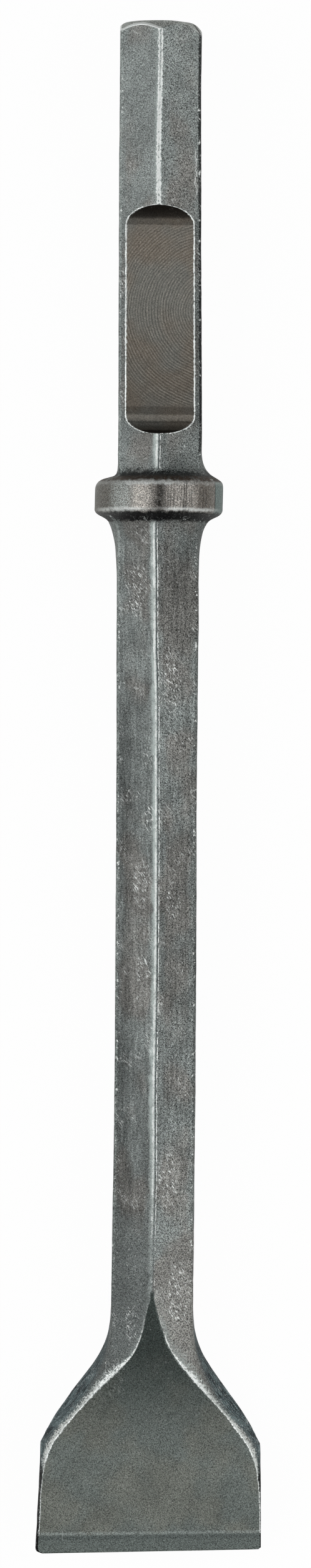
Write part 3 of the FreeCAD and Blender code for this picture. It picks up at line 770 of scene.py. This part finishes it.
    # Painted rim light along the left outer corner of the flats.
    leftCornerRimLight = product(fade(gapTo(flow, 0.5), 0.008, 0.002), outside(right))
    leftCornerRimLight = product(leftCornerRimLight, fade(station, 92, 100), fade(rough, 0.4, 0.6, 0.0, 0.45),
                         outside(collar))
    steelColour = blend(leftCornerRimLight, steelColour, look["rubbedSteelAndRimLight"])
    bare = most(ridgeWear, vEdge, notchLine, rimLeft)
    worn = product(fade(total(bare, swing(rough, 1.5)), 0.34, 0.86), fade(bare, 0.03, 0.2))
    drift = joined(total(across, product(coarse, 2.0)), product(station, 0.7), height)
    fleckNoise = noiseAt(drift, 1.6, 3.0, 0.75)
    fleckShare = level(cut, total(level(right, 0.5, 0.6), product(flank, 0.2)), 0.2)
    flecks = product(fade(fleckNoise, 0.6, 0.72), fleckShare, outside(notch))
    clusters = fade(noiseAt(place, 0.1, 2.0), 0.56, 0.66, 0.0, 0.6)
    for x, s, wide, tall in look["scratchSpots"]:
        aside = product(difference(across, x), 1.0 / wide)
        along = product(difference(station, s), 1.0 / tall)
        spot = fade(total(product(aside, aside), product(along, along)), 1.0, 0.3)
        clusters = most(clusters, spot)
    scratches = 0.0
    for lean, share in look["scratchLeans"]:
        slant = joined(total(product(across, 2.6), product(station, lean)), product(station, 0.7),
                       product(height, 0.6))
        scratches = most(scratches, product(fade(noiseAt(slant, 1.0, 1.0), 0.58, 0.66), share))
    scratches = product(scratches, clusters, fade(coarse, 0.36, 0.56, 0.2, 1.0), level(cut, 0.9, 0.15),
                        outside(collar))
    longWave = total(12.4, swing(noiseAt(joined(0.0, product(station, 0.3), 3.0), 1.0), 2.6))
    longScratch = product(fade(gapTo(across, longWave), 0.24, 0.06), within(station, 477, 492.5, 0.6), front)
    cornerChips = product(fade(gapTo(flow, 0.5), 0.026, 0.008),
                          fade(noiseAt(place, 0.5, 3.0, 0.7), 0.58, 0.68, 0.0, 0.85))
    cornerChips = product(cornerChips, fade(station, 92, 100), outside(collar), fade(station, 530, 520))
    worn = most(worn, flecks, scratches, cornerChips, product(longScratch, 0.6), hairline)
    steelColour = blend(worn, steelColour, look["bareSteelAndGlint"])

    shader.inputs["Metallic"].default_value = look["metallic"]
    steelTree.links.new(steelColour, shader.inputs["Base Color"])
    gloss = level(blade, look["scaleRoughness"], look["faceRoughness"])
    gloss = level(collar, gloss, look["collarRoughness"])
    gloss = level(worn, total(gloss, swing(grain, 0.25)), look["bareRoughness"])
    steelTree.links.new(gloss, shader.inputs["Roughness"])

    relief = total(product(grain, look["grainDepth"]), product(coarse, look["coarseDepth"]))
    relief = product(relief, level(most(blade, notch), 1.0, 0.35))
    relief = total(relief, product(arcs, notch, look["arcDepth"]))
    relief = total(relief, product(drawn, flank, look["drawnDepth"]))
    bump = addNode(steelTree, "ShaderNodeBump", None, {"Strength": 1.0, "Distance": mm, "Height": relief})
    steelTree.links.new(bump.outputs[0], shader.inputs["Normal"])


# Forged steel: a matt grey skin of scale with a broad soft sheen, and bright bare metal where it is worn.
# Colours in sRGB, depths in millimetres, patterns in cycles per millimetre, tones by station.
steelLook = {
    "tealScale": "#9ca3a1",
    "brownScale": "#979793",
    "flankDark": "#333c41",
    "flankLight": "#869799",
    # painted shade where the wedge cut starts
    "faceShade": "#474f4c",
    "faceTeal": "#828a86",
    "faceBrown": "#868a83",
    "bevel": "#8f9995",
    "notchGrey": "#85857f",
    "notchBrown": "#888075",
    # colour of the cutter's arcs, also a painted highlight on the notch's near run-out
    "notchArcAndHighlight": "#a7a298",
    # dark of the cutter's arcs, also painted shade at the notch's run-outs
    "runOut": "#24211d",
    "collarDark": "#7b7a75",
    "collarLight": "#cfc9c2",
    "collarTeal": "#bfc7c4",
    "collarBrown": "#5e554b",
    # painted shade down the collar's middle
    "collarMiddleShade": "#201e1c",
    "collarLine": "#2f2c29",
    "partingFace": "#82918e",
    "rootBrown": "#52453a",
    # black of painted shade, and of scale in the collar's upper root
    "shadeAndScaleBlack": "#141516",
    # painted highlight on the end cone
    "cone": "#b6bab6",
    # bare steel of worn edges, also a painted highlight on the collar's rims
    "bareSteelAndGlint": "#eef2f0",
    # rubbed steel of worn edges, also a painted rim light on the left corner
    "rubbedSteelAndRimLight": "#bcc6c3",
    # Painted light and shade on the left and right flats, by station.
    "leftLightAndShade": ((0, 0.5), (90, 0.52), (125, 0.72), (173, 0.64), (213, 0.9), (260, 0.68), (350, 0.74),
                 (430, 0.88), (538, 1.0)),
    "rightLightAndShade": ((0, 0.8), (95, 1.0), (150, 0.82), (213, 0.68), (260, 0.72), (300, 0.84), (345, 0.54),
                  (400, 0.76), (538, 1.0)),
    "outerLeftShade": 0.66,           # painted shade: the outer strip of the shaft's left flat is darker by this share
    "cutter": (19.0, 436.5),     # middle of the cutter's arcs, across and station, and their step, mm
    "cutterStep": 0.92,
    # Scratches lean either way, with a share each, and gather at spots: across, station, half sizes (mm).
    "scratchLeans": ((1.6, 1.0), (-1.8, 0.3)),
    "scratchSpots": ((4.7, 306, 4.5, 15), (-2.5, 259, 2.5, 6), (-5.0, 236, 4.5, 10), (-8.0, 338, 4.5, 12),
                     (6, 230, 3, 8), (-7, 82, 3, 8), (-12, 62, 6, 8), (9, 92, 5, 14), (4.7, 133, 4.5, 13),
                     (-1.5, 182, 2.5, 7), (-4.5, 206, 3.5, 8)),
    # How far the shank's bright ridge is one band, not two lines, by station.
    "ridgeSolid": ((0, 0.5), (383, 0.9), (474, 0.5), (482, 0.8), (490, 0.8), (495, 0.6), (499, 0.95),
                   (509, 0.95), (514, 0.5), (538, 0.25)),
    # Bands of painted shade across the notch, from and to station, with their strength.
    "notchShadeBands": ((400.2, 402.8, 0.35), (397.2, 397.6, 0.5), (393.0, 394.6, 0.9)),
    "grainPerMm": 2.6,
    "grainLeft": 1.6,
    "grainRight": 2.2,
    "grainBlade": 1.4,
    "grainCollar": 1.3,
    "grainNotch": 0.8,
    "grainDepth": 0.2,
    "coarseDepth": 0.05,
    "arcDepth": 0.02,
    "drawnDepth": 0.05,
    "metallic": 0.9,
    "scaleTone": 0.83,
    "scaleRoughness": 0.5,
    "faceRoughness": 0.58,
    "collarRoughness": 0.36,
    "bareRoughness": 0.34,
}
paintSteel(steelLook)
print("steel painted")

piece = makeChisel(chisel, meshing)
piece.data.materials.append(steel)
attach(piece, "root")
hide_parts("spade_chisel")

studio = {
    "floorHalf": 6.0,
    "floorColour": "#f7f7f5",
    "floorRoughness": 0.9,
    "floorGlow": 0.97,           # share of the floor that the camera sees as plain white
    "skyStrength": 0.2,
}
half = studio["floorHalf"]
floorMesh = bpy.data.meshes.new("floor")
floorMesh.from_pydata([(-half, -half, 0), (half, -half, 0), (half, half, 0), (-half, half, 0)], [],
                      [(0, 1, 2, 3)])
floor = bpy.data.objects.new("floor", floorMesh)
bpy.context.scene.collection.objects.link(floor)
# Pale matt floor: nearly white to the camera, and it throws soft light back under the tool.
floorPaint = bpy.data.materials.new("paleFloor")
floorPaint.use_nodes = True
floorTree = floorPaint.node_tree
paint = floorTree.nodes["Principled BSDF"]
paint.inputs["Base Color"].default_value = hexColour(studio["floorColour"])
paint.inputs["Roughness"].default_value = studio["floorRoughness"]
floorRays = addNode(floorTree, "ShaderNodeLightPath")
glow = addNode(floorTree, "ShaderNodeEmission", None, {"Color": (1, 1, 1, 1), "Strength": 1.0})
share = addNode(floorTree, "ShaderNodeMath", {"operation": "MULTIPLY"},
                {0: floorRays.outputs["Is Camera Ray"], 1: studio["floorGlow"]})
floorMix = addNode(floorTree, "ShaderNodeMixShader", None,
                   {0: share.outputs[0], 1: paint.outputs[0], 2: glow.outputs[0]})
floorTree.links.new(floorMix.outputs[0], floorTree.nodes["Material Output"].inputs["Surface"])
floorMesh.materials.append(floorPaint)

world = bpy.data.worlds.new("studio")
bpy.context.scene.world = world
world.use_nodes = True
skyTree = world.node_tree
rays = addNode(skyTree, "ShaderNodeLightPath")
seen = addNode(skyTree, "ShaderNodeMix", {"data_type": "FLOAT"},
               {0: rays.outputs["Is Camera Ray"], 2: studio["skyStrength"], 3: 1.0})
skyTree.links.new(seen.outputs[0], skyTree.nodes["Background"].inputs["Strength"])
skyTree.nodes["Background"].inputs["Color"].default_value = (1, 1, 1, 1)


def makeLamp(name, angle, tilt, along, distance, size, radiance):
    # angle leans across the tool from straight out of its front, tilt towards the striking face, in degrees
    data = bpy.data.lights.new(name, "AREA")
    data.shape = "RECTANGLE"
    data.size, data.size_y = size
    data.energy = radiance * math.pi * size[0] * size[1]
    lamp = bpy.data.objects.new(name, data)
    turn, rise = math.radians(angle), math.radians(tilt)
    outward = acrossTool * math.sin(turn) + outOfFront * math.cos(turn)
    towards = (outward * math.cos(rise) + alongTool * math.sin(rise)).normalized()
    place = edgeMiddle + alongTool * along + towards * distance
    side = alongTool.cross(towards).normalized()
    lamp.matrix_world = frameMatrix(side, towards.cross(side), towards, place)
    bpy.context.scene.collection.objects.link(lamp)
    return lamp


makeLamp("leftSoftbox", -52, 0, 0.42, 1.6, (1.5, 1.4), 2.0)
makeLamp("rightSoftbox", 40, 0, 0.16, 1.6, (1.3, 1.5), 2.0)
makeLamp("bladeFill", 0, -24, 0.04, 1.6, (1.0, 0.6), 1.1)

cameraSettings = {
    "distance": 3.0,
    "mmPerPixel": 0.21945,
    "imageHeight": 2510,
    "aim": (0.135, 270.7, 0.0),  # across, station and height, mm
    "lean": 0.491,               # the tool stands a little askew in the picture, degrees
    "sensorWidth": 36,
    "clipEnd": 50,
}
cameraData = bpy.data.cameras.new("camera")
camera = bpy.data.objects.new("camera", cameraData)
bpy.context.scene.collection.objects.link(camera)
bpy.context.scene.camera = camera
lean = math.radians(cameraSettings["lean"])
upImage = alongTool * math.cos(lean) - acrossTool * math.sin(lean)
rightImage = upImage.cross(outOfFront).normalized()
aim = toWorld @ Vector(cameraSettings["aim"])
camera.matrix_world = frameMatrix(rightImage, upImage, outOfFront,
                                  aim + outOfFront * cameraSettings["distance"])
viewHeight = cameraSettings["imageHeight"] * cameraSettings["mmPerPixel"] * mm
cameraData.sensor_width = cameraSettings["sensorWidth"]
cameraData.lens = cameraData.sensor_width * cameraSettings["distance"] / viewHeight
cameraData.clip_end = cameraSettings["clipEnd"]

bpy.context.scene.view_settings.view_transform = "Standard"
